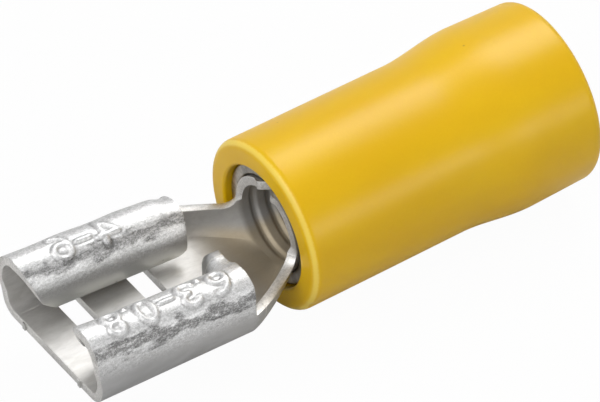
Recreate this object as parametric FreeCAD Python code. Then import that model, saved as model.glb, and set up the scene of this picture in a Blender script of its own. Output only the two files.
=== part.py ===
import FreeCAD, Part
import math
import os

# Insulated female spade terminal for 4 to 6 square millimetre wire.
# Millimetres. The origin lies on the axis of the wire barrel, at its wire end.
# +X runs along that axis from the receptacle to the wire, +Z is up, and the
# part is symmetrical about the plane y = 0.

# Sheet that the terminal is stamped and rolled from
sheet = 0.42

# Flat tab that the receptacle takes
tab_width = 6.30
tab_thickness = 0.80
tab_side_play = 0.38

# Receptacle: a flat floor with one roll along each side
roll_length = 7.95
floor_below_axis = 1.90
corner_radius = 0.80
wall_lean = 18.0
tip_preload_rear = 0.48
tip_preload_mouth = 0.05
tip_curl = 26.0

# Section of a roll at its rear end and at the mouth
roll_height_rear = 3.05
roll_height_mouth = 3.70
equator_height_rear = 1.53
equator_height_mouth = 2.00
slot_width_rear = 2.60
slot_width_mouth = 2.70

# Lead-in cut at the mouth corner of each roll's inner flank: it slants back
# from the crown, then turns to a bevel that ends on the tip
lead_in_slant = 0.62
lead_in_bevel_height = 0.90
lead_in_length = 1.55

# Cross windows in the floor
window_length = 1.00
window_half_width = 2.60
window_front_offsets = (1.91, 5.24)

# Stubs where the stamping was parted from its carrier strip
stub_width = 0.26
stub_reach = 0.11
stub_offset = 2.20

# Open neck between the receptacle and the barrel
neck_length = 3.20
neck_wall_height = 1.45
neck_fillet = 0.60
neck_floor_turn = 32.0

# Wire barrel, rolled to a tube with a butt seam on top
barrel_bore = 3.70
barrel_length = 6.50
seam_gap = 0.06
seam_corner = 0.40
groove_count = 3
groove_width = 0.30
groove_depth = 0.12
groove_pitch = 0.80
groove_first = 0.35

# Metal grip sleeve pressed over the barrel
press_clearance = 0.02
grip_wall = 0.55
grip_length = 9.20
grip_chamfer = 0.12

# Moulded insulating sleeve
lip_ahead_of_barrel = 0.25
grip_recess = 0.35
insulation_length = 15.00
front_diameter = 8.00
waist_diameter = 7.92
bell_diameter = 8.54
rear_diameter = 8.36
waist_position = 8.40
bell_position = 11.90
flare_softness = 3.50
front_edge_radius = 0.40
rear_edge_radius = 0.38
lip_chamfer = 0.12
entry_diameter = 6.50
entry_chamfer = 0.20
entry_cone_length = 1.20

# Stations along the axis, worked out from the wire end of the barrel
barrel_front = -barrel_length
roll_rear = barrel_front - neck_length
mouth = roll_rear - roll_length
lip_front = barrel_front - lip_ahead_of_barrel
sleeve_rear = lip_front + insulation_length
grip_front = lip_front + grip_recess
grip_rear = grip_front + grip_length

# Heights and half widths that follow
floor_under = -floor_below_axis
floor_top = floor_under + sheet
half_width = tab_width / 2 + tab_side_play + sheet
tip_gap_rear = tab_thickness - tip_preload_rear
tip_gap_mouth = tab_thickness - tip_preload_mouth
barrel_inner = barrel_bore / 2
barrel_outer = barrel_inner + sheet
grip_inner = barrel_outer + press_clearance
grip_outer = grip_inner + grip_wall
housing_bore = grip_outer + press_clearance


def point(x, y, z):
    return FreeCAD.Vector(x, y, z)


def line(a, b):
    return Part.makeLine(a, b)


def arc(x, centre_y, centre_z, radius, start, end):
    """Circular arc in the plane at x, with angles in degrees from +Y towards +Z."""
    ends = []
    for angle in (start, (start + end) / 2, end):
        turn = math.radians(angle)
        ends.append(point(x, centre_y + radius * math.cos(turn), centre_z + radius * math.sin(turn)))
    return Part.Arc(*ends).toShape()


def crown(x, centre_y, centre_z, half_span, rise, over_to_flank):
    """Upper half of an ellipse, from its outer end to its inner end or back."""
    ellipse = Part.Ellipse(
        point(x, centre_y, centre_z + rise),
        point(x, centre_y - half_span, centre_z),
        point(x, centre_y, centre_z),
    )
    edge = Part.ArcOfEllipse(ellipse, -math.pi / 2, math.pi / 2).toShape()
    if not over_to_flank:
        edge.reverse()
    return edge


def wall_curve(x, equator_z, inset):
    """Floor corner and bowed side wall, as two tangent arcs up to the equator."""
    lean = math.radians(wall_lean)
    rise = equator_z - floor_under - corner_radius * (1 - math.sin(lean))
    bow_radius = rise / math.sin(lean)
    bow_y = half_width - bow_radius
    corner_y = bow_y + (bow_radius - corner_radius) * math.cos(lean)
    corner_z = floor_under + corner_radius
    corner = arc(x, corner_y, corner_z, corner_radius - inset, -90, -wall_lean)
    bow = arc(x, bow_y, equator_z, bow_radius - inset, -wall_lean, 0)
    return corner_y, corner, bow


def roll_section(x, roll_height, equator_height, slot_width, gap):
    """Closed half section of the receptacle: floor, corner, wall, roll and flank."""
    equator_z = floor_under + equator_height
    rise = roll_height - equator_height
    flank_y = slot_width / 2
    half_span = (half_width - flank_y) / 2
    centre_y = (half_width + flank_y) / 2
    drop = equator_z - (floor_top + gap)
    flank_radius = drop / math.sin(math.radians(tip_curl))
    flank_y_centre = flank_y + flank_radius
    corner_y, corner_out, bow_out = wall_curve(x, equator_z, 0)
    corner_y, corner_in, bow_in = wall_curve(x, equator_z, sheet)
    flank_out = arc(x, flank_y_centre, equator_z, flank_radius, 180, 180 + tip_curl)
    flank_in = arc(x, flank_y_centre, equator_z, flank_radius - sheet, 180, 180 + tip_curl)
    edges = [
        line(point(x, 0, floor_under), point(x, corner_y, floor_under)),
        corner_out,
        bow_out,
        crown(x, centre_y, equator_z, half_span, rise, True),
        flank_out,
        line(flank_out.Vertexes[-1].Point, flank_in.Vertexes[-1].Point),
        flank_in,
        crown(x, centre_y, equator_z, half_span - sheet, rise - sheet, False),
        bow_in,
        corner_in,
        line(point(x, corner_y, floor_top), point(x, 0, floor_top)),
        line(point(x, 0, floor_top), point(x, 0, floor_under)),
    ]
    return Part.Wire(Part.__sortEdges__(edges))


def both_sides(half):
    """A half at y >= 0, joined to its mirror image."""
    return half.fuse(half.mirror(point(0, 0, 0), point(0, 1, 0))).removeSplitter()


def make_receptacle():
    mouth_wire = roll_section(
        mouth, roll_height_mouth, equator_height_mouth, slot_width_mouth, tip_gap_mouth)
    rear_wire = roll_section(
        roll_rear, roll_height_rear, equator_height_rear, slot_width_rear, tip_gap_rear)
    half = Part.makeLoft([mouth_wire, rear_wire], True, True)
    return half.cut(make_lead_in())


def make_lead_in():
    """Block that trims a roll's slot side back from the mouth, crown to tip."""
    crown_y = (half_width + slot_width_mouth / 2) / 2
    crown_z = floor_under + roll_height_mouth
    tip_z = floor_top + min(tip_gap_rear, tip_gap_mouth)
    tip_mid_z = floor_top + (tip_gap_rear + tip_gap_mouth) / 2
    ahead = mouth - sheet
    start = point(ahead, 0, crown_z)
    profile = Part.makePolygon([
        start,
        point(mouth, 0, crown_z),
        point(mouth + lead_in_slant, 0, tip_mid_z + lead_in_bevel_height),
        point(mouth + lead_in_length, 0, tip_mid_z),
        point(mouth + lead_in_length, 0, (floor_top + tip_z) / 2),
        point(ahead, 0, (floor_top + tip_z) / 2),
        start,
    ])
    return Part.Face(profile).extrude(point(0, crown_y, 0))


def neck_solid(inset):
    """Solid under the neck's outer or inner surface, from the floor to the tube."""
    equator_z = floor_under + equator_height_rear
    cap_z = barrel_outer
    corner_y, corner, bow = wall_curve(roll_rear, equator_z, inset)
    flat_z = floor_under + inset
    wide = half_width - inset
    front = [
        line(point(roll_rear, 0, flat_z), point(roll_rear, corner_y, flat_z)),
        corner,
        bow,
        line(point(roll_rear, wide, equator_z), point(roll_rear, wide, cap_z)),
        line(point(roll_rear, wide, cap_z), point(roll_rear, 0, cap_z)),
        line(point(roll_rear, 0, cap_z), point(roll_rear, 0, flat_z)),
    ]
    radius = barrel_outer - inset
    floor_end = neck_floor_turn - 90
    rear = [
        arc(barrel_front, 0, 0, radius, -90, floor_end),
        arc(barrel_front, 0, 0, radius, floor_end, -wall_lean),
        arc(barrel_front, 0, 0, radius, -wall_lean, 0),
        line(point(barrel_front, radius, 0), point(barrel_front, radius, cap_z)),
        line(point(barrel_front, radius, cap_z), point(barrel_front, 0, cap_z)),
        line(point(barrel_front, 0, cap_z), point(barrel_front, 0, -radius)),
    ]
    return Part.makeLoft([Part.Wire(front), Part.Wire(rear)], True, True)


def make_neck():
    """Trough with sloping sides, whose top edge sweeps up into the barrel's rim."""
    trough = neck_solid(0).cut(neck_solid(sheet))
    edge_z = floor_under + neck_wall_height
    top = barrel_outer + sheet
    bend = barrel_front - neck_fillet
    turn = math.sqrt(0.5) * neck_fillet
    outline = [
        line(point(roll_rear, 0, edge_z), point(bend, 0, edge_z)),
        Part.Arc(
            point(bend, 0, edge_z),
            point(bend + turn, 0, edge_z + neck_fillet - turn),
            point(barrel_front, 0, edge_z + neck_fillet),
        ).toShape(),
        line(point(barrel_front, 0, edge_z + neck_fillet), point(barrel_front, 0, top)),
        line(point(barrel_front, 0, top), point(roll_rear, 0, top)),
        line(point(roll_rear, 0, top), point(roll_rear, 0, edge_z)),
    ]
    above = Part.Face(Part.Wire(outline)).extrude(point(0, half_width + sheet, 0))
    return trough.cut(above)


def make_barrel():
    along = point(1, 0, 0)
    start = point(barrel_front, 0, 0)
    tube = Part.makeCylinder(barrel_outer, barrel_length, start, along)
    tube = tube.cut(Part.makeCylinder(barrel_inner, barrel_length, start, along))
    for index in range(groove_count):
        groove_x = barrel_front + groove_first + index * groove_pitch
        ring = Part.makeCylinder(
            barrel_inner + groove_depth, groove_width, point(groove_x, 0, 0), along)
        tube = tube.cut(ring)
    seam = Part.makeBox(
        barrel_length, seam_gap, barrel_outer, point(barrel_front, -seam_gap / 2, 0))
    tube = tube.cut(seam)
    notch = Part.makePolygon([
        point(barrel_front, -seam_corner, 0),
        point(barrel_front + seam_corner, 0, 0),
        point(barrel_front, seam_corner, 0),
        point(barrel_front, -seam_corner, 0),
    ])
    return tube.cut(Part.Face(notch).extrude(point(0, 0, barrel_outer)))


def make_windows():
    cutters = []
    for offset in window_front_offsets:
        cutters.append(Part.makeBox(
            window_length,
            2 * window_half_width,
            2 * sheet,
            point(mouth + offset, -window_half_width, floor_under - sheet / 2),
        ))
    return cutters


def make_stubs():
    stubs = []
    for side in (-1, 1):
        stubs.append(Part.makeBox(
            stub_reach + sheet,
            stub_width,
            sheet,
            point(mouth - stub_reach, side * stub_offset - stub_width / 2, floor_under),
        ))
    return stubs


def make_terminal():
    half = make_receptacle().fuse(make_neck())
    body = both_sides(half).fuse(make_barrel())
    body = body.fuse(make_stubs())
    for cutter in make_windows():
        body = body.cut(cutter)
    return body.removeSplitter()


def make_grip_sleeve():
    """Plain tube with eased inner edges."""
    profile = Part.makePolygon([
        point(grip_front, 0, grip_inner + grip_chamfer),
        point(grip_front, 0, grip_outer),
        point(grip_rear, 0, grip_outer),
        point(grip_rear, 0, grip_inner + grip_chamfer),
        point(grip_rear - grip_chamfer, 0, grip_inner),
        point(grip_front + grip_chamfer, 0, grip_inner),
        point(grip_front, 0, grip_inner + grip_chamfer),
    ])
    return Part.Face(profile).revolve(point(0, 0, 0), point(1, 0, 0), 360)


def corner_arc(start, bulge_centre, radius, first, last):
    """Quarter round in the plane y = 0, with angles from +X towards +Z."""
    mid = math.radians((first + last) / 2)
    end = math.radians(last)
    along = point(math.cos(mid), 0, math.sin(mid)) * radius
    final = point(math.cos(end), 0, math.sin(end)) * radius
    return Part.Arc(start, bulge_centre + along, bulge_centre + final).toShape()


def make_insulating_sleeve():
    """Moulded tube: straight front, soft flare, wider bell at the wire end."""
    front = front_diameter / 2
    waist = waist_diameter / 2
    bell = bell_diameter / 2
    rear = rear_diameter / 2
    entry = entry_diameter / 2
    edge_in = point(lip_front, 0, housing_bore + lip_chamfer)
    face_out = point(lip_front, 0, front - front_edge_radius)
    front_top = point(lip_front + front_edge_radius, 0, front)
    waist_end = point(lip_front + waist_position, 0, waist)
    bell_start = point(lip_front + bell_position, 0, bell)
    rear_top = point(sleeve_rear - rear_edge_radius, 0, rear)
    rear_out = point(sleeve_rear, 0, rear - rear_edge_radius)
    taper = (rear - bell) / (rear_top.x - bell_start.x)
    flare = Part.BSplineCurve()
    flare.interpolate(
        Points=[waist_end, bell_start],
        InitialTangent=point(flare_softness, 0, 0),
        FinalTangent=point(flare_softness, 0, flare_softness * taper),
    )
    front_centre = point(front_top.x, 0, face_out.z)
    rear_centre = point(rear_top.x, 0, rear_out.z)
    tail = [
        rear_out,
        point(sleeve_rear, 0, entry + entry_chamfer),
        point(sleeve_rear - entry_chamfer, 0, entry),
        point(grip_rear + entry_cone_length, 0, entry),
        point(grip_rear, 0, housing_bore),
        point(lip_front + lip_chamfer, 0, housing_bore),
        edge_in,
        face_out,
    ]
    edges = [
        corner_arc(face_out, front_centre, front_edge_radius, 180, 90),
        line(front_top, waist_end),
        flare.toShape(),
        line(bell_start, rear_top),
        corner_arc(rear_top, rear_centre, rear_edge_radius, 90, 0),
    ]
    for first, second in zip(tail, tail[1:]):
        edges.append(line(first, second))
    profile = Part.Face(Part.Wire(edges))
    return profile.revolve(point(0, 0, 0), point(1, 0, 0), 360)


def main():
    os.makedirs("parts", exist_ok=True)
    nodes = {
        "terminal": make_terminal(),
        "grip_sleeve": make_grip_sleeve(),
        "insulating_sleeve": make_insulating_sleeve(),
    }
    for name, shape in nodes.items():
        solid = shape.Solids[0] if len(shape.Solids) == 1 else shape
        solid.exportStep(os.path.join("parts", name + ".step"))
        box = solid.BoundBox
        print(name, "solids", len(shape.Solids), "valid", solid.isValid(),
              "volume", round(solid.Volume, 2),
              "x", round(box.XMin, 2), round(box.XMax, 2),
              "y", round(box.YMin, 2), round(box.YMax, 2),
              "z", round(box.ZMin, 2), round(box.ZMax, 2))


main()
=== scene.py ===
import math

import bmesh
import bpy
import numpy as np
from mathutils import Matrix, Vector


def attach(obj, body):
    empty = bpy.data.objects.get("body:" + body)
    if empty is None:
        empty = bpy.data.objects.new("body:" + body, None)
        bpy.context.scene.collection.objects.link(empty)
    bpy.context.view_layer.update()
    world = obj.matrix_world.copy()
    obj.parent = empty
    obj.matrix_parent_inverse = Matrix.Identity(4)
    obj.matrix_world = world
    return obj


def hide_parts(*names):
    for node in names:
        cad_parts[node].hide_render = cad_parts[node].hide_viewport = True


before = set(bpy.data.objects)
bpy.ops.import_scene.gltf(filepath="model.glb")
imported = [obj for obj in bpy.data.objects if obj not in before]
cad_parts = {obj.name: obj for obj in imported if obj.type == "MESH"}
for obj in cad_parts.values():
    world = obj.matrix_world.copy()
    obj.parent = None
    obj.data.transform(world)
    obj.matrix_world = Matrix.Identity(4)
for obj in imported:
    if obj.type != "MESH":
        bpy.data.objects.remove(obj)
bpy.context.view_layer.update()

# Insulated female spade terminal: a folded tin-plated receptacle, a metal grip
# sleeve over its wire barrel and a moulded yellow vinyl sleeve. Lengths are in
# millimetres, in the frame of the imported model: x runs from the receptacle to
# the wire, y across and z up. Each finished mesh is scaled to metres.

MILLIMETRE = 0.001

# Folded sheet
sheet = 0.42
half_width = 3.95
floor_under = -1.90
floor_top = floor_under + sheet
corner_radius = 0.80
wall_lean = math.radians(18.0)
tip_curl = math.radians(26.0)
mouth = -17.65
roll_rear = -9.70
roll_length = roll_rear - mouth
window_half_width = 2.60
window_length = 1.00
window_offsets = (1.91, 5.24)
edge_rounding = 0.05
sheet_weld = 0.002
fine_weld = 1e-4
sharp_edge = math.radians(48.0)

# Sizes of each roll: height, equator height, slot width and tip gap
roll_at_mouth = {"height": 3.70, "equator": 2.00, "slot": 2.70, "gap": 0.75}
roll_at_rear = {"height": 3.05, "equator": 1.53, "slot": 2.60, "gap": 0.32}

# Wire barrel, with its butt seam on top and grooves inside
barrel_front = -6.50
barrel_outer = 2.27
seam_gap = 0.06
groove_starts = (0.35, 1.15, 1.95)
groove_width = 0.42
groove_depth = 0.12
grooved_length = 2.60

# Eased corners at the front end of the seam, and the small lips beside them
seam_corner = 0.42
seam_corner_length = 1.60
seam_lip = 0.10
seam_lip_place = seam_corner + 0.18
seam_lip_width = 0.16

# Neck between the receptacle and the barrel
neck_edge = floor_under + 1.45
neck_fillet = 0.60
neck_floor_turn = math.radians(32.0)
neck_wall_rise = 2.64
neck_narrowing = 1.25

# Lead-in cut on the slot side of both rolls, and the far roll's rounded rear tip
lead_in_slant = 0.62
lead_in_knee = -0.045
lead_in_length = 1.55
lead_in_bevel = 0.90
rear_tip_radius = 0.55

# Near roll: the inner return springs open at its rear end. The hinge is a share
# of the crown's rows, and the bend counts rows before and after it.
open_tip_radius = 0.18
open_tip_length = 0.95
open_tip_turn = math.radians(56.0)
open_tip_overhang = 0.46
open_tip_hinge = 0.74
open_tip_bend = (10, 26)

# Stray of the sheared ends, and the rows of the crown between which it comes and goes
floor_set_back = 0.18
crown_overhang = 0.20
crown_overhang_comes = (4, 26)
crown_overhang_goes = (56, 80)
open_tip_overhang_comes = (44, 92)

# Bent neck that sets the receptacle nose up, and the knocked rear corner of the far roll
nose_lift = 0.022
lift_start = -7.20
lift_length = 2.20
knock_down = 0.13
knock_in = 0.104
knock_reach = 0.42
knock_from_y = (1.6, 3.2)
knock_from_z = (-0.9, 0.6)

# Unevenness of the crowns: pitch, seed and height of the long and the short waves.
# The crowns reach a little past the rolls' rear, and keep clear of the middle.
crown_waves = ((2.6, 4, 0.030), (0.9, 9, 0.008))
crown_rear = roll_rear + 0.60
crown_side = 1.0
off_middle = 0.8

# Coined digits, with a shallow moat around every stroke
digit_height = 0.075
digit_slope = (0.05, 0.17)
moat_depth = 0.028
moat_middle = 0.20
moat_width = 0.055
digit_gap = 0.17
digit_middle = 0.64
crown_arc_length = 4.6
near_digits = {"text": "6.3-0.8", "middle_x": -13.45, "middle_arc": 0.52, "size": 1.06}
far_digits = {"text": "4-6", "middle_x": -14.20, "middle_arc": 0.45, "size": 1.12}

# Stubs torn from the carrier strip
stub_side = 2.10
stub_reach = 0.17
stub_width = 0.18
stub_height = sheet * 0.86

# Sleeves
lip_front = -6.75
lip_rounding = 0.40
sleeve_rear = 8.25
rear_rounding = 0.38
grip_front = -6.40
grip_rear = 2.80
grip_inner = 2.29
grip_outer = 2.84
housing_bore = 2.86
front_radius = 4.00
taper_x = -3.0
taper_radius = 3.985
waist_x = lip_front + 8.40
waist_radius = 3.96
bell_x = lip_front + 11.90
bell_radius = 4.27
rear_radius = 4.18
flare_pull = 3.5
entry_radius = 3.25
entry_step = 1.20
sleeve_segments = 288
grip_segments = 160

# Waves in the moulded wall, and a small dent in the front lip
mould_wave_pitch = 7.5
mould_wave_seed = 21
mould_wave_depth = 0.012
lip_dent_depth = 0.07
lip_dent_turn = -147.0
lip_dent_spread = 4.5
lip_dent_x = lip_front + 0.30
lip_dent_length = 0.20

# Soft boxes: place, aim, size (width, height) and power
lamps = {
    "key": ((-240, -50, 270), (0, 0, 0), (290, 290), 0.92),
    "rim": ((168, 128, 325), (0, 0, 0), (200, 180), 0.24),
    "bell_spot": ((54, 36, 78), (8, 0, 4), (56, 46), 0.040),
    "fill": ((140, -345, 105), (0, 0, 0), (140, 90), 0.22),
}
table_reach = 400.0
table_gap = 0.02


# Shader maths and the making of nodes

class Value:
    """A socket of a node tree, which takes part in Python sums."""

    def __init__(self, nodes, socket):
        self.nodes = nodes
        self.socket = socket

    def math(self, operation, *values):
        return self.nodes.node(
            "ShaderNodeMath", {"operation": operation}, dict(enumerate(values)))

    def __add__(self, other):
        return self.math("ADD", self, other)

    __radd__ = __add__

    def __mul__(self, other):
        return self.math("MULTIPLY", self, other)

    __rmul__ = __mul__

    def __sub__(self, other):
        return self.math("SUBTRACT", self, other)

    def __rsub__(self, other):
        return self.math("SUBTRACT", other, self)

    def __truediv__(self, other):
        return self.math("DIVIDE", self, other)

    def __mod__(self, other):
        return self.math("MODULO", self, other)

    def whole(self):
        return self.math("FLOOR", self)

    def cosine(self):
        return self.math("COSINE", self)

    def sine(self):
        return self.math("SINE", self)

    def root(self):
        return self.math("SQRT", self)

    def absolute(self):
        return self.math("ABSOLUTE", self)

    def clipped(self):
        return self.math("MINIMUM", self.math("MAXIMUM", self, 0.0), 1.0)

    def part(self, axis):
        """One axis of a vector."""
        return self.nodes.node("ShaderNodeSeparateXYZ", None, {0: self}, out=axis)

    def step(self, low, high):
        """0 up to low, 1 from high, and a soft rise between."""
        return self.nodes.node(
            "ShaderNodeMapRange", {"interpolation_type": "SMOOTHSTEP"},
            {0: self, 1: low, 2: high, 3: 0.0, 4: 1.0})

    def band(self, middle, half, soft_edge):
        """1 near the middle, and a soft fall on both sides."""
        return 1 - (self - middle).absolute().step(half, half + soft_edge)


class Nodes:
    """A node tree, and the one method that makes every node in it."""

    def __init__(self, tree):
        self.tree = tree

    def node(self, kind, settings=None, sockets=None, out=0):
        made = self.tree.nodes.new(kind)
        for key, value in (settings or {}).items():
            setattr(made, key, value)
        for key, value in (sockets or {}).items():
            if isinstance(value, Value):
                self.tree.links.new(value.socket, made.inputs[key])
            else:
                made.inputs[key].default_value = value
        return None if out is None else Value(self, made.outputs[out])


class Finish(Nodes):
    """The nodes of one material."""

    def __init__(self, name):
        self.material = bpy.data.materials.new(name)
        self.material.use_nodes = True
        super().__init__(self.material.node_tree)
        self.tree.nodes.clear()

    def place(self, stretch=(1.0, 1.0, 1.0)):
        """Object coordinates in millimetres, divided by a stretch along each axis."""
        coordinates = self.node("ShaderNodeTexCoord", out="Object")
        scale = [1 / (MILLIMETRE * value) for value in stretch]
        return self.node(
            "ShaderNodeMapping", {"vector_type": "POINT"}, {0: coordinates, 3: scale})

    def noise(self, place, scale, detail=3.0, roughness=0.5, distortion=0.0):
        return self.node(
            "ShaderNodeTexNoise", {"noise_dimensions": "3D"},
            {"Vector": place, "Scale": scale, "Detail": detail,
             "Roughness": roughness, "Distortion": distortion})

    def cells(self, place, scale):
        """Distance to the nearest of scattered points."""
        return self.node(
            "ShaderNodeTexVoronoi", {"feature": "F1"}, {"Vector": place, "Scale": scale})

    def attribute(self, name):
        return self.node("ShaderNodeAttribute", {"attribute_name": name}, out="Fac")

    def colours(self, factor, first, second):
        return self.node(
            "ShaderNodeMix", {"data_type": "RGBA"}, {0: factor, 6: first, 7: second}, out=2)

    def bump(self, height, distance, strength):
        return self.node(
            "ShaderNodeBump", None,
            {"Height": height, "Distance": distance * MILLIMETRE, "Strength": strength})

    def surface(self, **sockets):
        names = {key.replace("_", " "): value for key, value in sockets.items()}
        shader = self.node("ShaderNodeBsdfPrincipled", None, names)
        self.node("ShaderNodeOutputMaterial", None, {"Surface": shader}, out=None)
        return self.material


def grey(value, warmth=0.0):
    """A grey, leaning to brown as its warmth grows."""
    return (value * (1 + warmth), value, value * (1 - 1.6 * warmth), 1.0)


def tin_plate():
    """Tin plate on rolled and coined brass: grainy crowns, smoother walls."""
    finish = Finish("tin_plate")
    place = finish.place()
    crown = finish.attribute("crown")
    cut = finish.attribute("cut_edge")
    inside = finish.attribute("inside")
    outline = finish.attribute("outline")
    blotch = finish.noise(finish.place((2.2, 1.0, 1.0)), 0.9, 4.0, 0.6, 0.4)
    grain = finish.noise(finish.place((1.6, 1.0, 1.0)), 11.0, 3.0, 0.65)
    speck = finish.noise(place, 18.0, 2.0, 0.6)
    cloud = finish.noise(finish.place((3.0, 1.0, 1.0)), 2.6, 4.0, 0.62, 0.3)
    mottle = (grain * 0.55 + speck * 0.45).step(0.30, 0.70)
    worked = crown.step(-0.05, 0.16) * (1 - crown.step(0.90, 1.10))

    # Painted dark reflections as streaks along the rolls, dull clouds between them, and painted
    # shade in the moats round the digits
    wandering = crown + (cloud - 0.5) * 0.35 + (blotch - 0.5) * 0.25
    # The streaks sit at fixed places across the crowns as painted dark reflections; the second
    # one is on the far roll only
    low_dark_reflection = wandering.band(0.80, 0.02, 0.075)
    high_dark_reflection = wandering.band(0.27, 0.02, 0.085) * place.part("Y").step(-0.5, 0.5)
    dark = (low_dark_reflection * 1.15 + high_dark_reflection * 0.90) * (1.05 - mottle * 0.60)
    # outline darkens the moats round the digits with painted shade
    dark = dark + cloud.step(0.54, 0.70) * 0.30 * (1 - mottle) + outline * 0.45

    # Outside: plain walls, paler inner returns, light worked crowns and small pits
    plain = finish.colours(blotch.step(0.3, 0.7), grey(0.43, 0.006), grey(0.51, 0.004))
    inner_return = (1 - crown.step(-0.12, 0.10)) * crown.step(-0.49, -0.40)
    plain = finish.colours(inner_return * 0.8, plain, (0.70, 0.70, 0.66, 1.0))
    coined = finish.colours(mottle, grey(0.44, 0.004), grey(0.78))
    colour = finish.colours(worked, plain, coined)
    colour = finish.colours((dark * worked).clipped(), colour, grey(0.15, 0.01))
    pit = 1 - finish.cells(place, 1.15).step(0.035, 0.075)
    colour = finish.colours(pit * (1 - worked) * 0.6, colour, grey(0.16, 0.01))

    # Inside: light floor, painted shade towards the barrel and a painted warm reflection of the
    # yellow sleeve low in the neck
    trough = finish.colours(cloud.step(0.35, 0.65), grey(0.62, 0.020), grey(0.72, 0.015))
    near_barrel = place.part("X").step(roll_rear + 0.2, barrel_front - 0.7)
    sleeve_reflection = near_barrel * (1 - place.part("Z").step(-1.50, -0.95))
    # Painted shade: the inside darkens towards the barrel
    trough = finish.colours(near_barrel * 0.75, trough, grey(0.35, 0.015))
    # Painted warm reflection of the yellow sleeve, low in the neck
    trough = finish.colours(sleeve_reflection * 0.85, trough, grey(0.36, 0.22))
    colour = finish.colours(inside * 0.85, colour, trough)

    # Sheared edges
    sheared = finish.colours(mottle, grey(0.52, 0.02), grey(0.86, 0.02))
    colour = finish.colours(cut * 0.7, colour, sheared)

    rough = 0.39 + worked * 0.10 + (grain - 0.5) * 0.14
    rough = rough + inside * (near_barrel * 0.12 + 0.18)
    height = (grain * 0.65 + speck * 0.35) * (0.16 + worked * 0.84 + cut * 0.3)
    return finish.surface(
        Base_Color=colour, Metallic=1.0, Roughness=rough.clipped(),
        Normal=finish.bump(height, 0.024, 0.60))


def dull_tin():
    """Dull tin plate with fine turning marks, on the grip sleeve."""
    finish = Finish("dull_tin")
    place = finish.place()
    rings = finish.noise(finish.place((0.16, 1.0, 1.0)), 1.3, 3.0, 0.6)
    blotch = finish.noise(place, 1.6, 4.0, 0.6)
    colour = finish.colours(blotch.step(0.32, 0.68), grey(0.24, 0.05), grey(0.52, 0.05))
    rough = 0.34 + (rings - 0.5) * 0.18
    return finish.surface(
        Base_Color=colour, Metallic=1.0, Roughness=rough.clipped(),
        Normal=finish.bump(rings, 0.02, 0.5))


def vinyl():
    """Moulded vinyl with a soft gloss, faint flow waves and a few dull scuffs."""
    finish = Finish("yellow_vinyl")
    place = finish.place()
    wave = finish.noise(finish.place((2.4, 1.0, 1.0)), 0.35, 2.0, 0.45)
    fine = finish.noise(place, 9.0, 3.0, 0.6)
    scuff = finish.noise(finish.place((1.0, 3.0, 3.0)), 2.2, 5.0, 0.7, 0.8).step(0.60, 0.78)
    speck = 1 - finish.cells(place, 0.42).step(0.012, 0.035)
    deep = (0.645, 0.380, 0.0005, 1.0)
    light = (0.700, 0.430, 0.0015, 1.0)
    colour = finish.colours((wave * 0.8 + fine * 0.2).step(0.3, 0.7), deep, light)
    colour = finish.colours(speck * 0.55, colour, (0.30, 0.16, 0.01, 1.0))

    # Painted highlight along the rounding behind the front lip
    y, z = place.part("Y"), place.part("Z")
    behind_lip = place.part("X") - lip_front - 0.13 + (fine - 0.5) * 0.10
    lip_highlight = behind_lip.band(0.0, 0.05, 0.10) * (y * y + z * z).root().step(3.70, 3.84)
    colour = finish.colours(lip_highlight * 0.60, colour, (0.86, 0.68, 0.14, 1.0))

    rough = 0.34 + (fine - 0.5) * 0.08 + scuff * 0.10
    return finish.surface(
        Base_Color=colour, Roughness=rough.clipped(), IOR=1.37,
        Subsurface_Weight=0.12, Subsurface_Radius=(1.0, 0.55, 0.08),
        Subsurface_Scale=0.7 * MILLIMETRE,
        Normal=finish.bump(wave * 0.75 + fine * 0.06, 0.10, 0.5))


# Folded sheet

# Rows of points on one side of the sheet, from the middle of the floor to the tip
floor_rows = 14
ledge_rows = 4
corner_rows = 7
wall_rows = 9
shoulder_rows = 2
crown_rows = 84
flank_rows = 20
barrel_rows = 30
shared_rows = floor_rows + ledge_rows + corner_rows + wall_rows
crown_start = shared_rows + shoulder_rows
column_pitch = 0.082


def soft(value, low, high):
    """0 up to low, 1 from high, and a soft rise between."""
    share = np.clip((value - low) / (high - low), 0, 1)
    return share * share * (3 - 2 * share)


def arc(centre_y, centre_z, radius, angles):
    """Points (y, z) on an arc of the section."""
    return np.column_stack([
        centre_y + radius * np.cos(angles), centre_z + radius * np.sin(angles)])


def wall_circles(equator):
    """Centres of the floor corner and the bowed wall, and the wall's radius."""
    rise = equator - corner_radius * (1 - math.sin(wall_lean))
    bow = rise / math.sin(wall_lean)
    bow_y = half_width - bow
    corner_y = bow_y + (bow - corner_radius) * math.cos(wall_lean)
    return corner_y, bow_y, bow


def neck_share():
    """Share of the wall's arc, from its foot, that lies below the neck's edge."""
    equator = roll_at_rear["equator"]
    bow = wall_circles(equator)[2]
    turn = math.asin((neck_edge - floor_under - equator) / bow)
    return (wall_lean + turn) / wall_lean


def floor_and_corner(corner_y):
    """Outside of the floor, and of the bend from the floor to the wall."""
    inner = np.linspace(0, window_half_width, floor_rows + 1)
    outer = np.linspace(window_half_width, corner_y, ledge_rows + 1)[1:]
    flat = np.concatenate([inner, outer])
    floor = np.column_stack([flat, np.full(len(flat), floor_under)])
    turn = np.linspace(-math.pi / 2, -wall_lean, corner_rows + 1)[1:]
    return floor, arc(corner_y, floor_under + corner_radius, corner_radius, turn)


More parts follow.
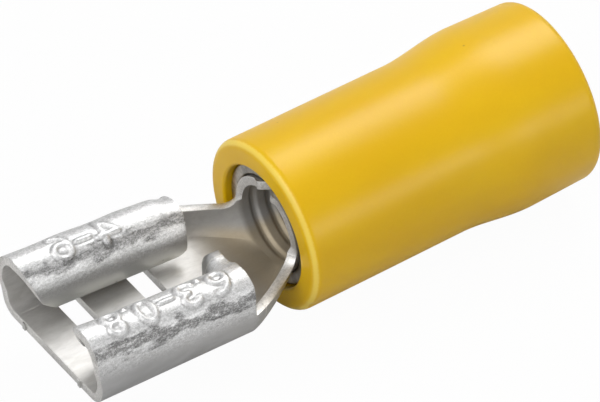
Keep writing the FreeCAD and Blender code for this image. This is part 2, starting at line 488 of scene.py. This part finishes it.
def roll_outline(sizes):
    """Outside of one side of the receptacle, from the middle of the floor to the tip."""
    equator_z = floor_under + sizes["equator"]
    corner_y, bow_y, bow = wall_circles(sizes["equator"])
    floor, corner = floor_and_corner(corner_y)
    split = neck_share()
    lower = -wall_lean * (1 - np.linspace(0, split, wall_rows + 1)[1:])
    upper = -wall_lean * (1 - np.linspace(split, 1, shoulder_rows + 1)[1:])
    flank_y = sizes["slot"] / 2
    half_span = (half_width - flank_y) / 2
    rise = sizes["height"] - sizes["equator"]
    turn = np.linspace(0, math.pi, crown_rows + 1)[1:]
    crown = np.column_stack([
        (half_width + flank_y) / 2 + half_span * np.cos(turn),
        equator_z + rise * np.sin(turn)])
    drop = equator_z - (floor_top + sizes["gap"])
    radius = drop / math.sin(tip_curl)
    curl = np.linspace(math.pi, math.pi + tip_curl, flank_rows + 1)[1:]
    return np.vstack([
        floor, corner,
        arc(bow_y, equator_z, bow, np.concatenate([lower, upper])),
        crown,
        arc(flank_y + radius, equator_z, radius, curl)])


def lead_in_depth(z, crown_z):
    """How far back from the mouth the lead-in cut starts, at a height on the slot side."""
    if z > lead_in_knee:
        return lead_in_slant * (crown_z - z) / (crown_z - lead_in_knee)
    past = (lead_in_knee - z) / lead_in_bevel
    return lead_in_slant + past * (lead_in_length - lead_in_slant)


def row_starts_and_ends(first, last, tip_radius, tip_overhang):
    """Where each row of the receptacle starts and ends along x."""
    rows = np.arange(len(first))
    starts = np.full(len(first), mouth)
    ends = np.full(len(first), roll_rear)
    crown_z = first[:, 1].max()
    for row in range(crown_start + crown_rows // 2, len(first)):
        x = mouth
        for _ in range(12):
            share = (x - mouth) / roll_length
            z = first[row, 1] * (1 - share) + last[row, 1] * share
            x = mouth + lead_in_depth(z, crown_z)
        starts[row] = x
    starts += floor_set_back * (1 - soft(rows, shared_rows - 6, crown_start))
    crown_row = rows - crown_start
    comes, goes = soft(crown_row, *crown_overhang_comes), soft(crown_row, *crown_overhang_goes)
    ends += crown_overhang * comes * (1 - goes)
    ends += tip_overhang * soft(crown_row, *open_tip_overhang_comes)
    steps = np.hypot(*np.diff(last, axis=0).T)
    to_tip = np.concatenate([np.cumsum(steps[::-1])[::-1], [0.0]])
    near_tip = np.clip(tip_radius - to_tip, 0, None)
    ends -= tip_radius - np.sqrt(tip_radius ** 2 - near_tip ** 2)
    return starts, ends


def receptacle_columns():
    """Stations along the rolls, with one on each edge of the windows."""
    marks = [0.0]
    for offset in window_offsets:
        marks += [offset, offset + window_length]
    marks.append(roll_length)
    columns = [0.0]
    for first, last in zip(marks, marks[1:]):
        count = max(2, round((last - first) / column_pitch))
        columns += list(np.linspace(first, last, count + 1)[1:])
    return np.array(columns)


def receptacle_grid(side, first, last):
    """Points of one side of the receptacle, from the outlines at its mouth and rear."""
    near = side < 0
    tip = (open_tip_radius, open_tip_overhang) if near else (rear_tip_radius, 0.0)
    starts, ends = row_starts_and_ends(first, last, *tip)
    shares = receptacle_columns() / roll_length
    x = starts[None, :] + shares[:, None] * (ends - starts)[None, :]
    at = ((x - mouth) / roll_length)[..., None]
    section = first[None] * (1 - at) + last[None] * at
    if near:
        open_rear_tip(x, section)
    return np.dstack([x, side * section[..., 0], section[..., 1]])


def open_rear_tip(x, section):
    """The near roll's inner return springs open a little at its rear end."""
    hinge_row = crown_start + round(crown_rows * open_tip_hinge)
    hinge = section[:, hinge_row:hinge_row + 1]
    share = soft(x, roll_rear - open_tip_length, roll_rear)
    rows = np.arange(section.shape[1])
    past = soft(rows, hinge_row - open_tip_bend[0], hinge_row + open_tip_bend[1])
    turn = open_tip_turn * share * past[None, :]
    arm = section - hinge
    cosine, sine = np.cos(turn), np.sin(turn)
    turned_y = arm[..., 0] * cosine + arm[..., 1] * sine
    turned_z = arm[..., 1] * cosine - arm[..., 0] * sine
    moved = np.dstack([turned_y, turned_z]) + hinge
    section[:, hinge_row:] = moved[:, hinge_row:]


def neck_grid(side):
    """Trough from the receptacle's rear to the barrel, up to its top edge."""
    equator = roll_at_rear["equator"]
    equator_z = floor_under + equator
    corner_y, bow_y, bow = wall_circles(equator)
    floor, corner = floor_and_corner(corner_y)
    dense = 40
    angles = -wall_lean * (1 - np.linspace(0, 1, dense + 1)[1:])
    rise = np.linspace(0, 1, dense + 1)[1:]
    front_top = np.column_stack([
        np.full(dense, half_width), equator_z + rise * neck_wall_rise])
    front = np.vstack([floor, corner, arc(bow_y, equator_z, bow, angles), front_top])
    floor_turn = -math.pi / 2 + neck_floor_turn * floor[:, 0] / corner_y
    corner_turn = np.linspace(-math.pi / 2 + neck_floor_turn, -wall_lean, corner_rows + 1)[1:]
    rear = np.vstack([
        arc(0, 0, barrel_outer, np.concatenate([floor_turn, corner_turn, angles])),
        np.column_stack([np.full(dense, barrel_outer), rise * barrel_outer])])
    bend = barrel_front - neck_fillet
    straight = np.linspace(roll_rear, bend, 24)
    sweep = bend + neck_fillet * np.sin(np.linspace(0, math.pi / 2, 9)[1:])
    kept = floor_rows + ledge_rows + corner_rows
    grid = []
    for x in np.concatenate([straight, sweep]):
        share = ((x - roll_rear) / (barrel_front - roll_rear)) ** neck_narrowing
        section = front * (1 - share) + rear * share
        edge = neck_edge
        if x > bend:
            edge += neck_fillet - math.sqrt(max(0.0, neck_fillet ** 2 - (x - bend) ** 2))
        wall = section[kept:]
        along = np.arange(len(wall))
        picks = np.linspace(0, np.interp(edge, wall[:, 1], along), wall_rows + 1)[1:]
        lip_highlight = np.column_stack([np.interp(picks, along, wall[:, axis]) for axis in (0, 1)])
        row = np.vstack([section[:kept + 1], lip_highlight])
        grid.append(np.column_stack([np.full(len(row), x), side * row[:, 0], row[:, 1]]))
    return np.array(grid)


def barrel_grid(side, join):
    """Half of the wire barrel, from its first column, which it shares with the neck."""
    start = math.atan2(join[-1, 2], abs(join[-1, 1]))
    end = math.pi / 2 - math.asin(seam_gap / 2 / barrel_outer)
    low = np.arctan2(join[:, 2], np.abs(join[:, 1]))
    high = start + (end - start) * np.linspace(0, 1, barrel_rows + 1)[1:]
    angles = np.concatenate([low, high])
    y = barrel_outer * np.cos(angles)
    corner = np.clip(seam_corner - y, 0, None)
    lip = seam_lip * np.exp(-((y - seam_lip_place) / seam_lip_width) ** 2)
    depth = np.where(angles > start, corner - lip, 0)
    stations = np.concatenate([
        np.linspace(0, grooved_length, 44),
        np.linspace(grooved_length, -barrel_front, 14)[1:]])
    ease = np.clip(1 - stations / seam_corner_length, 0, 1)
    x = barrel_front + stations[:, None] + depth[None, :] * ease[:, None]
    grid = np.dstack([
        x,
        np.broadcast_to(side * y, x.shape),
        np.broadcast_to(barrel_outer * np.sin(angles), x.shape)])
    grid[0, :len(join)] = join
    return grid


def add_grid(points, faces, grid, flip):
    """Adds a grid's points and its faces, apart from those in the windows."""
    base = len(points)
    columns, rows = grid.shape[:2]
    points.extend(grid.reshape(-1, 3).tolist())
    for column in range(columns - 1):
        for row in range(rows - 1):
            a = base + column * rows + row
            corners = (a, a + rows, a + rows + 1, a + 1)
            x = grid[column:column + 2, row:row + 2, 0].mean()
            if row < floor_rows and in_window(x):
                continue
            faces.append(corners[::-1] if flip else corners)


def bend_and_knock(points):
    """Sets the receptacle nose up on its bent neck, and knocks the far roll's rear corner."""
    past = np.clip(lift_start - points[:, 0], 0, None)
    bent = np.minimum(past, lift_length)
    points[:, 2] += nose_lift * (bent ** 2 / (2 * lift_length) + past - bent)
    knock = np.exp(-((points[:, 0] - roll_rear) / knock_reach) ** 2)
    knock *= soft(points[:, 1], *knock_from_y) * soft(points[:, 2], *knock_from_z)
    points[:, 1] -= knock_in * knock
    points[:, 2] -= knock_down * knock


def in_window(x):
    """Whether a place along the floor lies in one of its windows."""
    return x < roll_rear and any(
        offset < x - mouth < offset + window_length for offset in window_offsets)


# Coined digits

def ring(centre_x, centre_y, radius_x, radius_y, start=0.0, end=360.0):
    """Points on an ellipse or a part of it, with its angles in degrees."""
    turn = np.radians(np.linspace(start, end, 28))
    return list(zip(centre_x + radius_x * np.cos(turn), centre_y + radius_y * np.sin(turn)))


# Width of each sign, and its strokes in a box about 1.3 high
digit_strokes = {
    "0": (0.92, [ring(0.46, 0.66, 0.36, 0.60)]),
    "3": (0.90, [ring(0.40, 0.98, 0.34, 0.30, 150, -90),
                 ring(0.40, 0.36, 0.38, 0.33, 90, -150)]),
    "4": (0.98, [[(0.68, 0.0), (0.68, 1.28), (0.06, 0.42), (0.94, 0.42)]]),
    "6": (0.92, [ring(0.46, 0.40, 0.36, 0.36),
                 [(0.10, 0.40), (0.12, 0.72), (0.26, 1.02), (0.46, 1.20), (0.70, 1.26)]]),
    "8": (0.92, [ring(0.46, 0.96, 0.30, 0.29), ring(0.46, 0.35, 0.36, 0.33)]),
    "-": (0.74, [[(0.08, 0.60), (0.66, 0.60)]]),
    ".": (0.26, [[(0.13, 0.06), (0.13, 0.07)]]),
}


def strokes_of(text):
    """Stroke segments of a row of digits, centred on the origin."""
    segments = []
    pen = 0.0
    for sign in text:
        width, lines = digit_strokes[sign]
        for line in lines:
            for (x0, y0), (x1, y1) in zip(line, line[1:]):
                segments.append((pen + x0, y0 - digit_middle, pen + x1, y1 - digit_middle))
        pen += width + digit_gap
    half_length = (pen - digit_gap) / 2
    return np.array(segments) - np.array([half_length, 0, half_length, 0])


def stroke_distance(across, upward, segments):
    """Distance of each point from the nearest stroke."""
    best = np.full(len(across), 1e3)
    for x0, y0, x1, y1 in segments:
        dx, dy = x1 - x0, y1 - y0
        share = ((across - x0) * dx + (upward - y0) * dy) / (dx * dx + dy * dy)
        share = np.clip(share, 0, 1)
        best = np.minimum(best, np.hypot(across - x0 - share * dx, upward - y0 - share * dy))
    return best


def digit_relief(points, side, text, middle_x, middle_arc, size):
    """Height of the coined digits, and their moats, at each point of one roll's crown."""
    across = (middle_x - points[:, 0]) / size
    upward = (crown_arc(points) - middle_arc) * crown_arc_length / size
    distance = stroke_distance(across, upward, strokes_of(text)) * size
    height = digit_height * (1 - soft(distance, *digit_slope))
    moat = np.exp(-((distance - moat_middle) / moat_width) ** 2)
    on_side = (points[:, 1] * side > off_middle) & (points[:, 0] < roll_rear + 0.01)
    return np.where(on_side, height - moat * moat_depth, 0.0), np.where(on_side, moat, 0.0)


def crown_arc(points):
    """Place across a roll: 0 at the slot's edge of the crown and 1 at its outer edge."""
    share = (points[:, 0] - mouth) / roll_length
    here = {name: size + (roll_at_rear[name] - size) * share
            for name, size in roll_at_mouth.items()}
    flank_y = here["slot"] / 2
    across = (np.abs(points[:, 1]) - (half_width + flank_y) / 2) / ((half_width - flank_y) / 2)
    upward = (points[:, 2] - floor_under - here["equator"]) / (here["height"] - here["equator"])
    turn = np.arctan2(upward, across)
    turn = np.where(turn < -math.pi / 2, turn + 2 * math.pi, turn)
    return 1 - turn / math.pi


def waviness(points, pitch, seed):
    """Soft unevenness, as a fixed sum of waves."""
    total = np.zeros(len(points))
    generator = np.random.default_rng(seed)
    for _ in range(7):
        direction = generator.normal(size=3)
        direction /= np.linalg.norm(direction)
        phase = generator.uniform(0, 2 * math.pi)
        total += np.sin(points @ direction * 2 * math.pi / pitch + phase)
    return total / 7


# Meshes

def mesh_object(name, points, faces):
    mesh = bpy.data.meshes.new(name)
    mesh.from_pydata([tuple(point) for point in points], [], faces)
    mesh.update()
    piece = bpy.data.objects.new(name, mesh)
    bpy.context.scene.collection.objects.link(piece)
    return piece


def bake_modifiers(piece):
    """Replace a piece's mesh by the result of its modifiers."""
    bpy.context.view_layer.update()
    graph = bpy.context.evaluated_depsgraph_get()
    mesh = bpy.data.meshes.new_from_object(piece.evaluated_get(graph))
    old = piece.data
    piece.modifiers.clear()
    piece.data = mesh
    mesh.name = piece.name
    bpy.data.meshes.remove(old)


def merge_points(piece, distance):
    """Joins the points that lie closer together than a distance."""
    work = bmesh.new()
    work.from_mesh(piece.data)
    bmesh.ops.remove_doubles(work, verts=work.verts, dist=distance)
    work.to_mesh(piece.data)
    work.free()


def read_vectors(mesh, field):
    flat = np.empty(len(mesh.vertices) * 3)
    mesh.vertices.foreach_get(field, flat)
    return flat.reshape(-1, 3)


def positions(mesh):
    return read_vectors(mesh, "co")


def normals(mesh):
    return read_vectors(mesh, "normal")


def set_positions(mesh, points):
    mesh.vertices.foreach_set("co", np.asarray(points, dtype=float).ravel())
    mesh.update()


def in_metres(piece):
    """Scales a finished mesh from millimetres to metres."""
    piece.data.transform(Matrix.Scale(MILLIMETRE, 4))
    piece.data.update()


def store(mesh, name, values):
    """Keeps a value at each point, for the material to read."""
    layer = mesh.attributes.new(name, "FLOAT", "POINT")
    layer.data.foreach_set("value", np.asarray(values, dtype=float))


def folded_sheet():
    """Receptacle, neck and barrel as one sheet, still without thickness."""
    points, faces = [], []
    first = roll_outline(roll_at_mouth)
    last = roll_outline(roll_at_rear)
    for side in (1, -1):
        neck = neck_grid(side)
        for grid in (receptacle_grid(side, first, last), neck, barrel_grid(side, neck[-1])):
            add_grid(points, faces, grid, side > 0)
    piece = mesh_object("terminal_sheet", points, faces)
    merge_points(piece, sheet_weld)
    return piece


def add_wall(piece, finish):
    """Thickens the sheet inwards, with its sheared edges in a material slot of their own."""
    piece.data.materials.append(finish)
    piece.data.materials.append(finish)
    wall = piece.modifiers.new("wall", "SOLIDIFY")
    wall.thickness = sheet
    wall.offset = -1
    wall.use_even_offset = True
    wall.use_rim = True
    wall.material_offset_rim = 1
    bake_modifiers(piece)


def press_grooves(points, inner):
    """Grooves around the inside of the barrel."""
    radius = np.maximum(np.hypot(points[:, 1], points[:, 2]), 0.1)
    in_barrel = inner & (points[:, 0] > barrel_front + 0.05)
    for start in groove_starts:
        middle = barrel_front + start + groove_width / 2
        share = np.clip(1 - np.abs(points[:, 0] - middle) / (groove_width / 2), 0, 1)
        deeper = groove_depth * soft(share, 0.0, 0.6) * in_barrel
        points[:, 1:] *= (1 + deeper / radius)[:, None]


def work_sheet(mesh, outer):
    """Coins the crowns, presses the grooves and stores what the material reads."""
    points = positions(mesh)
    direction = normals(mesh)
    on_rolls = points[:, 0] < crown_rear
    arc_share = crown_arc(points)
    on_crown = outer & on_rolls & (arc_share > -0.1) & (arc_share < 1.1)
    on_crown &= np.abs(points[:, 1]) > crown_side
    near_rise, near_moat = digit_relief(points, -1, **near_digits)
    far_rise, far_moat = digit_relief(points, 1, **far_digits)
    rise = near_rise + far_rise
    for pitch, seed, height in crown_waves:
        rise += waviness(points, pitch, seed) * height
    points += direction * np.where(on_crown, rise, 0.0)[:, None]
    press_grooves(points, ~outer)
    set_positions(mesh, points)
    on_a_side = on_rolls & (np.abs(points[:, 1]) > off_middle)
    store(mesh, "inside", np.where(outer, 0.0, 1.0))
    store(mesh, "crown", np.where(on_a_side, np.clip(arc_share, -0.5, 1.5), -0.5))
    # The moats' strength, which the material paints as shade
    store(mesh, "outline", np.where(on_crown, near_moat + far_moat, 0.0))


def ease_edges(piece):
    """Rounds the sheared edges and marks their points, then drops their own slot."""
    edge = piece.modifiers.new("edge", "BEVEL")
    edge.width = edge_rounding
    edge.segments = 2
    edge.limit_method = "ANGLE"
    edge.angle_limit = sharp_edge
    edge.use_clamp_overlap = True
    bake_modifiers(piece)
    mesh = piece.data
    cut = np.zeros(len(mesh.vertices))
    for face in mesh.polygons:
        if face.material_index == 1:
            cut[list(face.vertices)] = 1.0
        face.material_index = 0
    mesh.materials.pop(index=1)
    store(mesh, "cut_edge", cut)


def join_mesh(mesh, other):
    """Adds another object's mesh, and removes that object."""
    work = bmesh.new()
    work.from_mesh(mesh)
    work.from_mesh(other.data)
    work.to_mesh(mesh)
    work.free()
    bpy.data.objects.remove(other)


def make_terminal(finish):
    piece = folded_sheet()
    outer_count = len(piece.data.vertices)
    add_wall(piece, finish)
    work_sheet(piece.data, np.arange(len(piece.data.vertices)) < outer_count)
    ease_edges(piece)
    points = positions(piece.data)
    bend_and_knock(points)
    set_positions(piece.data, points)
    piece.data.polygons.foreach_set("use_smooth", [True] * len(piece.data.polygons))
    join_mesh(piece.data, carrier_stubs(finish))
    piece.name = "folded_terminal"
    in_metres(piece)
    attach(piece, "root")
    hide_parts("terminal")
    return piece


# Geometry node trees

class Recipe(Nodes):
    """A geometry node tree with named inputs."""

    def __init__(self, name, inputs):
        super().__init__(bpy.data.node_groups.new(name, "GeometryNodeTree"))
        self.add_socket("Geometry", "NodeSocketGeometry")
        self.identifiers = {label: self.add_socket(label, kind) for label, kind in inputs}
        self.add_socket("Geometry", "NodeSocketGeometry", "OUTPUT")

    def add_socket(self, label, kind, direction="INPUT"):
        socket = self.tree.interface.new_socket(label, in_out=direction, socket_type=kind)
        return socket.identifier

    def given(self, label):
        return self.node("NodeGroupInput", out=label)

    def finish(self, geometry):
        real = self.node("GeometryNodeRealizeInstances", None, {"Geometry": geometry})
        dressed = self.node(
            "GeometryNodeSetMaterial", None, {"Geometry": real, "Material": self.given("Finish")})
        self.node("NodeGroupOutput", None, {0: dressed}, out=None)

    def apply(self, piece, values):
        modifier = piece.modifiers.new("recipe", "NODES")
        modifier.node_group = self.tree
        for label, value in values.items():
            modifier[self.identifiers[label]] = value
        bake_modifiers(piece)


def turned_tube_recipe():
    """Turns an outline, given as points (x, radius), once around the x axis."""
    recipe = Recipe("turned_tube", [
        ("Outline points", "NodeSocketInt"),
        ("Segments", "NodeSocketInt"),
        ("Finish", "NodeSocketMaterial"),
    ])
    outline = recipe.given("Outline points")
    segments = recipe.given("Segments")
    around = segments + 1.0
    grid = recipe.node("GeometryNodeMeshGrid", None, {
        "Size X": 1.0, "Size Y": 1.0,
        "Vertices X": outline + 1.0, "Vertices Y": around}, out="Mesh")
    index = recipe.node("GeometryNodeInputIndex")
    column = ((index + 0.5) / around).whole()
    turn = (index - column * around) / segments * (2 * math.pi)
    sample = recipe.node(
        "GeometryNodeSampleIndex", {"data_type": "FLOAT_VECTOR", "domain": "POINT"},
        {"Geometry": recipe.given("Geometry"),
         "Value": recipe.node("GeometryNodeInputPosition"), "Index": column % outline})
    radius = sample.part("Y")
    place = recipe.node("ShaderNodeCombineXYZ", None, {
        "X": sample.part("X"), "Y": radius * turn.cosine(), "Z": radius * turn.sine()})
    shaped = recipe.node("GeometryNodeSetPosition", None, {"Geometry": grid, "Position": place})
    joined = recipe.node(
        "GeometryNodeMergeByDistance", None, {"Geometry": shaped, "Distance": fine_weld})
    recipe.finish(recipe.node(
        "GeometryNodeSetShadeSmooth", None, {"Geometry": joined, "Shade Smooth": True}))
    return recipe


def stub_recipe():
    """A small torn stub on each point that it is given."""
    recipe = Recipe("carrier_stub", [
        ("Reach", "NodeSocketFloat"),
        ("Width", "NodeSocketFloat"),
        ("Height", "NodeSocketFloat"),
        ("Finish", "NodeSocketMaterial"),
    ])
    size = recipe.node("ShaderNodeCombineXYZ", None, {
        "X": recipe.given("Reach"), "Y": recipe.given("Width"), "Z": recipe.given("Height")})
    block = recipe.node("GeometryNodeMeshCube", None, {
        "Size": size, "Vertices X": 4, "Vertices Y": 5, "Vertices Z": 6}, out="Mesh")
    uneven = recipe.node(
        "ShaderNodeTexNoise", {"noise_dimensions": "3D"},
        {"Scale": 9.0, "Detail": 2.0}, out="Color")
    shift = recipe.node(
        "ShaderNodeVectorMath", {"operation": "SUBTRACT"}, {0: uneven, 1: (0.5, 0.5, 0.5)})
    shift = recipe.node(
        "ShaderNodeVectorMath", {"operation": "SCALE"}, {0: shift, "Scale": 0.05})
    torn = recipe.node("GeometryNodeSetPosition", None, {"Geometry": block, "Offset": shift})
    points = recipe.node("GeometryNodeMeshToPoints", None, {"Mesh": recipe.given("Geometry")})
    recipe.finish(recipe.node(
        "GeometryNodeInstanceOnPoints", None, {"Points": points, "Instance": torn}))
    return recipe


def carrier_stubs(finish):
    """Stubs where the stamping was torn from its carrier strip."""
    middle = floor_under + sheet / 2
    middle += nose_lift * (lift_start - mouth - lift_length / 2)
    points = [(mouth + floor_set_back, side * stub_side, middle) for side in (-1, 1)]
    piece = mesh_object("carrier_stubs", points, [])
    stub_recipe().apply(piece, {
        "Reach": stub_reach, "Width": stub_width, "Height": stub_height, "Finish": finish})
    merge_points(piece, fine_weld)
    return piece


# Sleeves

def rounded(corners):
    """Closed outline with each corner (x, radius, rounding) eased by an arc."""
    count = len(corners)
    outline = []
    for index in range(count):
        x, y, rounding = corners[index]
        here = np.array([x, y])
        before = np.array(corners[index - 1][:2]) - here
        after = np.array(corners[(index + 1) % count][:2]) - here
        reach_before, reach_after = np.linalg.norm(before), np.linalg.norm(after)
        before, after = before / reach_before, after / reach_after
        half = math.acos(np.clip(before @ after, -1, 1)) / 2
        if rounding <= 0 or half > math.radians(86):
            outline.append(here)
            continue
        cut = min(rounding / math.tan(half), 0.48 * reach_before, 0.48 * reach_after)
        radius = cut * math.tan(half)
        middle = before + after
        centre = here + middle / np.linalg.norm(middle) * radius / math.sin(half)
        first = here + before * cut
        last = here + after * cut
        support = min(0.05, 0.1 * min(reach_before, reach_after))
        outline.append(first + before * support)
        start = math.atan2(*(first - centre)[::-1])
        end = math.atan2(*(last - centre)[::-1])
        sweep = (end - start + math.pi) % (2 * math.pi) - math.pi
        steps = max(3, round(abs(sweep) / math.radians(13)))
        for step in range(steps + 1):
            turn = start + sweep * step / steps
            outline.append(centre + radius * np.array([math.cos(turn), math.sin(turn)]))
        outline.append(last + after * support)
    return outline


def flare_points():
    """Outside of the insulating sleeve between its waist and its bell, as one smooth curve."""
    taper = (rear_radius - bell_radius) / (sleeve_rear - rear_rounding - bell_x)
    points = []
    for share in np.linspace(0, 1, 17)[1:-1]:
        square, cube = share * share, share ** 3
        to_bell = 3 * square - 2 * cube
        leave = (cube - 2 * square + share) * flare_pull
        arrive = (cube - square) * flare_pull
        x = (1 - to_bell) * waist_x + to_bell * bell_x + leave + arrive
        radius = (1 - to_bell) * waist_radius + to_bell * bell_radius + arrive * taper
        points.append((x, radius, 0))
    return points


def sleeve_outline():
    """Closed outline of the insulating sleeve, from its front lip round to its bore."""
    return rounded([
        (lip_front, front_radius, lip_rounding),
        (taper_x, taper_radius, 0),
        (waist_x, waist_radius, 0),
        *flare_points(),
        (bell_x, bell_radius, 0),
        (sleeve_rear, rear_radius, rear_rounding),
        (sleeve_rear, entry_radius, 0.20),
        (grip_rear + entry_step, entry_radius, 0.10),
        (grip_rear, housing_bore, 0.05),
        (lip_front, housing_bore, 0.14),
    ])


def grip_outline():
    """Closed outline of the grip sleeve, around its wall."""
    return rounded([
        (grip_front, grip_outer, 0.10),
        (grip_rear, grip_outer, 0.10),
        (grip_rear, grip_inner, 0.12),
        (grip_front, grip_inner, 0.12),
    ])


def turn_outline(name, outline, recipe, segments, finish):
    points = [(x, radius, 0.0) for x, radius in outline]
    piece = mesh_object(name, points, [])
    recipe.apply(piece, {
        "Outline points": len(points), "Segments": segments, "Finish": finish})
    work = bmesh.new()
    work.from_mesh(piece.data)
    bmesh.ops.recalc_face_normals(work, faces=work.faces)
    work.to_mesh(piece.data)
    work.free()
    return piece


def make_insulating_sleeve(recipe, finish):
    piece = turn_outline(
        "insulating_sleeve_moulded", sleeve_outline(), recipe, sleeve_segments, finish)
    points = positions(piece.data)
    direction = normals(piece.data)
    outside = soft(np.hypot(points[:, 1], points[:, 2]), 3.3, 3.7)
    waves = waviness(points, mould_wave_pitch, mould_wave_seed)
    rise = waves * mould_wave_depth - mould_wave_depth
    turn = np.degrees(np.arctan2(points[:, 2], points[:, 1]))
    from_dent = ((turn - lip_dent_turn) / lip_dent_spread) ** 2
    from_dent += ((points[:, 0] - lip_dent_x) / lip_dent_length) ** 2
    rise -= lip_dent_depth * np.exp(-from_dent)
    points += direction * (rise * outside)[:, None]
    set_positions(piece.data, points)
    in_metres(piece)
    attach(piece, "root")
    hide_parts("insulating_sleeve")
    return piece


def make_grip_sleeve(recipe, finish):
    piece = turn_outline("grip_sleeve_turned", grip_outline(), recipe, grip_segments, finish)
    in_metres(piece)
    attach(piece, "root")
    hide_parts("grip_sleeve")
    return piece


# Studio

def add_floor():
    """White table that shows white to the camera and still keeps a faint shadow."""
    finish = Finish("white_table")
    seen = finish.node("ShaderNodeLightPath", out="Is Camera Ray")
    mirrored = finish.node("ShaderNodeLightPath", out="Is Glossy Ray")
    diffuse = finish.node("ShaderNodeBsdfDiffuse", None, {"Color": (0.58, 0.58, 0.58, 1)})
    glow = finish.node("ShaderNodeEmission", None, {"Color": (1, 1, 1, 1), "Strength": 1.0})
    factor = (seen * 0.97 + mirrored * 0.06).clipped()
    mixed = finish.node("ShaderNodeMixShader", None, {0: factor, 1: diffuse, 2: glow})
    finish.node("ShaderNodeOutputMaterial", None, {"Surface": mixed}, out=None)

    # The sleeve lies on its front lip and its bell, so the table leans a little
    lean = (bell_radius - front_radius) / (bell_x - lip_front - lip_rounding)
    corners = [
        (x * table_reach, y * table_reach,
         (bell_x - x * table_reach) * lean - bell_radius - table_gap)
        for x, y in ((-1, -1), (1, -1), (1, 1), (-1, 1))]
    piece = mesh_object("table_top", corners, [(0, 1, 2, 3)])
    piece.data.materials.append(finish.material)
    in_metres(piece)


def add_world():
    """White to the camera and through gaps, pale in reflections and dimmer as light."""
    world = bpy.data.worlds.new("studio")
    bpy.context.scene.world = world
    world.use_nodes = True
    nodes = Nodes(world.node_tree)
    nodes.tree.nodes.clear()

    def background(strength):
        return nodes.node(
            "ShaderNodeBackground", None, {"Color": (1, 1, 1, 1), "Strength": strength})

    def choose(ray, otherwise, chosen):
        path = nodes.node("ShaderNodeLightPath", out=ray)
        return nodes.node("ShaderNodeMixShader", None, {0: path, 1: otherwise, 2: chosen})

    height = nodes.node("ShaderNodeTexCoord", out="Generated").part("Z")
    mirrored = background(0.84 - height.step(0.0, 0.7) * 0.18)
    white = background(1.0)
    light = choose("Is Glossy Ray", background(0.40), mirrored)
    light = choose("Is Camera Ray", light, white)
    light = choose("Is Transmission Ray", light, white)
    nodes.node("ShaderNodeOutputWorld", None, {"Surface": light}, out=None)


def add_lamp(name, place, aim, size, power):
    """Soft box, with its place, aim and size (width, height) in millimetres."""
    data = bpy.data.lights.new(name, "AREA")
    data.shape = "RECTANGLE"
    data.size = size[0] * MILLIMETRE
    data.size_y = size[1] * MILLIMETRE
    data.energy = power
    lamp = bpy.data.objects.new(name, data)
    bpy.context.scene.collection.objects.link(lamp)
    lamp.location = Vector(place) * MILLIMETRE
    away = Vector(aim) - Vector(place)
    lamp.rotation_euler = away.to_track_quat("-Z", "Y").to_euler()


def add_camera():
    azimuth = math.radians(-34.2)
    elevation = math.radians(43.8)
    roll = math.radians(-0.7)
    distance = 385.0
    pixels_per_millimetre = 23.5
    frame_width, frame_height = 600, 402
    lip_pixel = (261.5, 227.3)
    back = Vector((
        math.sin(azimuth) * math.cos(elevation),
        -math.cos(azimuth) * math.cos(elevation),
        math.sin(elevation)))
    level_right = Vector((math.cos(azimuth), math.sin(azimuth), 0))
    level_up = back.cross(level_right)
    right = level_right * math.cos(roll) + level_up * math.sin(roll)
    up = level_up * math.cos(roll) - level_right * math.sin(roll)
    target = Vector((lip_front, 0, 0))
    target -= right * ((lip_pixel[0] - frame_width / 2) / pixels_per_millimetre)
    target += up * ((lip_pixel[1] - frame_height / 2) / pixels_per_millimetre)
    data = bpy.data.cameras.new("camera")
    data.sensor_width = 36.0
    data.lens = pixels_per_millimetre * distance * data.sensor_width / frame_width
    data.clip_start = 0.01
    data.clip_end = 10.0
    camera = bpy.data.objects.new("camera", data)
    bpy.context.scene.collection.objects.link(camera)
    pose = Matrix((right, up, back)).transposed().to_4x4()
    pose.translation = (target + back * distance) * MILLIMETRE
    camera.matrix_world = pose
    bpy.context.scene.camera = camera


def main():
    add_camera()
    recipe = turned_tube_recipe()
    make_insulating_sleeve(recipe, vinyl())
    make_grip_sleeve(recipe, dull_tin())
    make_terminal(tin_plate())
    add_floor()
    add_world()
    for name, lamp in lamps.items():
        add_lamp(name, *lamp)
    bpy.context.scene.view_settings.view_transform = "Standard"


main()
